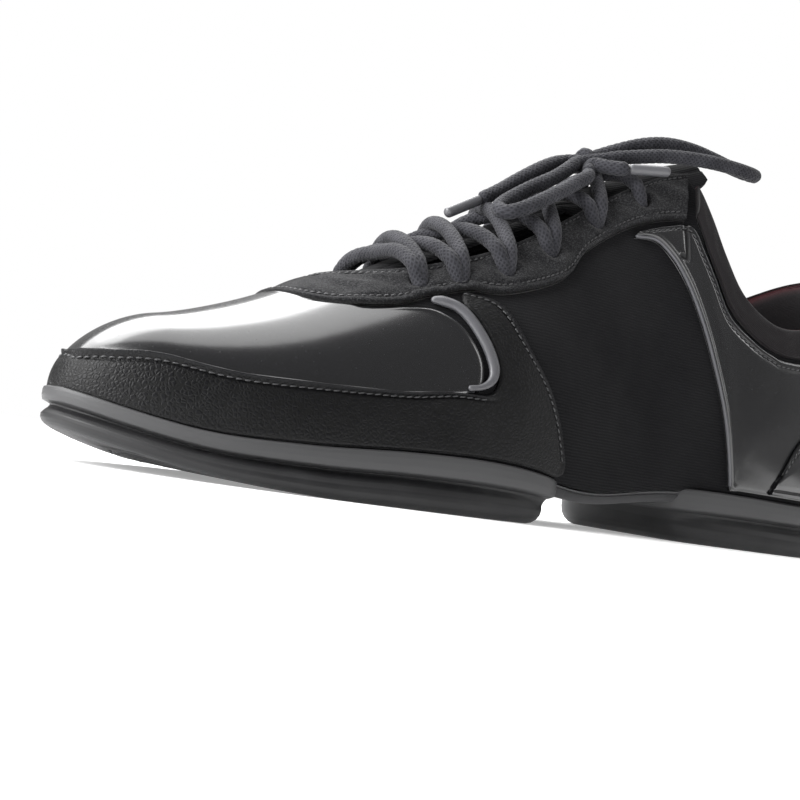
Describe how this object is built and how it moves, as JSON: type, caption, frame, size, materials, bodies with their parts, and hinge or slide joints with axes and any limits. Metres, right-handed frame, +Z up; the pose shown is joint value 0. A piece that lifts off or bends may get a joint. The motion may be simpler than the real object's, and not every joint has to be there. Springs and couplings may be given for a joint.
{
  "type": "dance sneaker",
  "caption": "Left lace-up dance sneaker with a split rubber sole, round pivot rings, a bare flexible arch, a glossy toe and rear quarter, a stretch side and a padded collar.",
  "frame": {"origin": "on the floor under the middle of the shoe's own box, without the bow of the lace", "axes": "+X from the toe to the heel, +Y from the lateral to the medial side, +Z up from the floor"},
  "size_m": [0.2642, 0.0842, 0.1223],
  "materials": {
    "tread_rubber": "fine stippled matte rubber with a smooth side wall",
    "smooth_rubber": "smooth matte rubber",
    "stretch_textile": "ribbed stretch textile",
    "grained_leather": "fine grained, semi-matte",
    "patent_leather": "high gloss patent",
    "suede_leather": "short nap suede",
    "piping_finish": "satin sheen piping",
    "collar_textile": "padded soft textile",
    "footbed_textile": "matte textile",
    "lace_braid": "round braid",
    "aglet_plastic": "satin tube"
  },
  "bodies": {
    "root": {"upper": "stretch_textile", "toe_guard": "grained_leather", "toe_patent": "patent_leather", "notch_piping_lateral": "piping_finish", "notch_piping_medial": "piping_finish", "eyestay": "suede_leather", "quarter": "patent_leather", "heel_counter": "patent_leather", "collar_band": "collar_textile", "tongue": "stretch_textile", "insole": "footbed_textile", "forefoot_outsole": "tread_rubber", "heel_outsole": "tread_rubber", "arch_bridge": "smooth_rubber", "lace_bars": "lace_braid", "lace_knot": "lace_braid", "lace_loop_rear": "lace_braid", "lace_loop_front": "lace_braid", "lace_end_front": "lace_braid", "lace_end_rear": "lace_braid", "aglet_front": "aglet_plastic", "aglet_rear": "aglet_plastic"}
  },
  "joints": []
}
